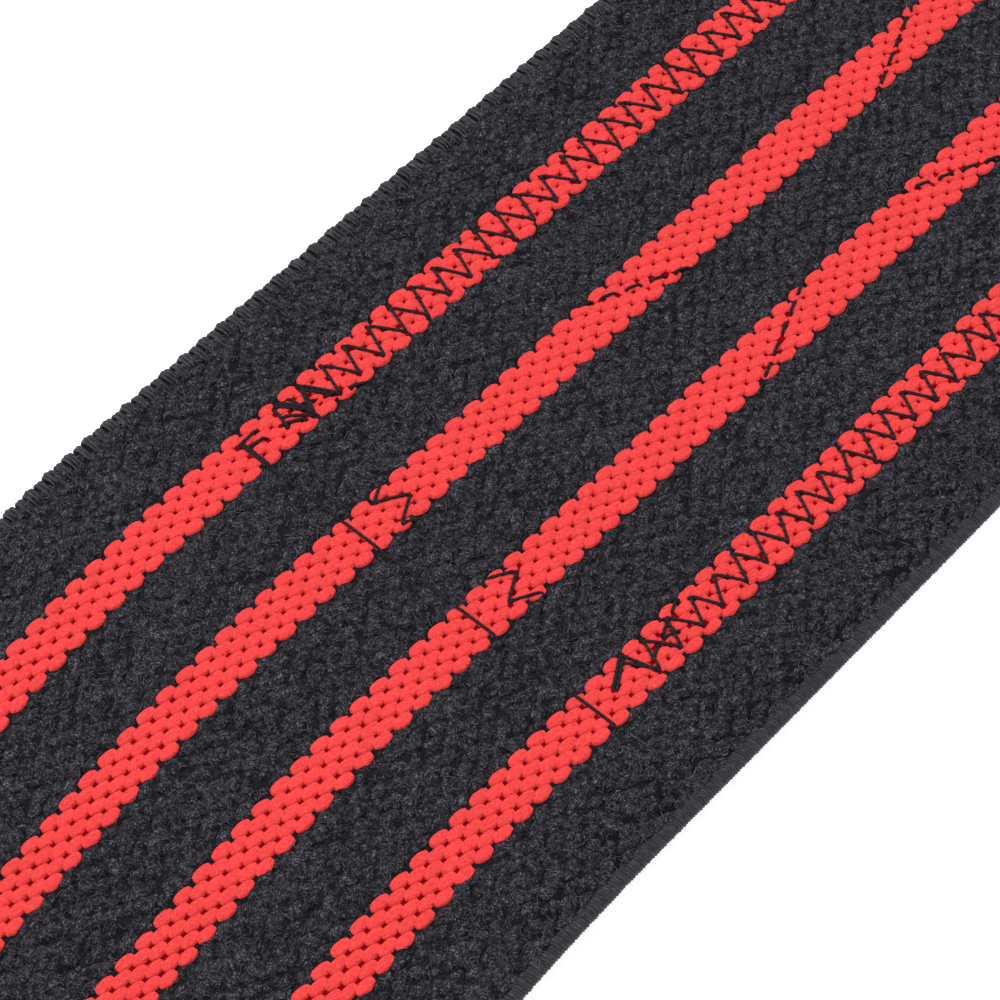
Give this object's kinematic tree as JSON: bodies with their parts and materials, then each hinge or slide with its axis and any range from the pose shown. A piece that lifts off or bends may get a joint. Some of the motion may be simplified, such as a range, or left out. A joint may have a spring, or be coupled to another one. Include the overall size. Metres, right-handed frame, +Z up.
{
  "type": "wrist wrap",
  "caption": "Flat woven elastic wrist wrap with striped face, turned-under ends and a strip of hook tape sewn under one end.",
  "frame": {"origin": "on the surface that the wrap lies on, under the middle of its box", "axes": "+X along the web towards the taped end, +Y across the web towards the looped edge, +Z up"},
  "size_m": [0.304, 0.08, 0.0105],
  "materials": {
    "ground_yarn": "matt bulky yarn, woven",
    "stripe_yarn": "smooth yarn, woven",
    "edge_yarn": "filament yarn, woven",
    "hook_tape": "woven tape with moulded hooks",
    "sewing_thread": "twisted thread"
  },
  "bodies": {
    "root": {"ground_lane_1": "ground_yarn", "ground_lane_2": "ground_yarn", "ground_lane_3": "ground_yarn", "ground_lane_4": "ground_yarn", "ground_lane_5": "ground_yarn", "red_stripe_1": "stripe_yarn", "red_stripe_2": "stripe_yarn", "red_stripe_3": "stripe_yarn", "red_stripe_4": "stripe_yarn", "selvedge_looped": "edge_yarn", "selvedge_corded": "edge_yarn", "hook_tape": "hook_tape"}
  },
  "joints": []
}
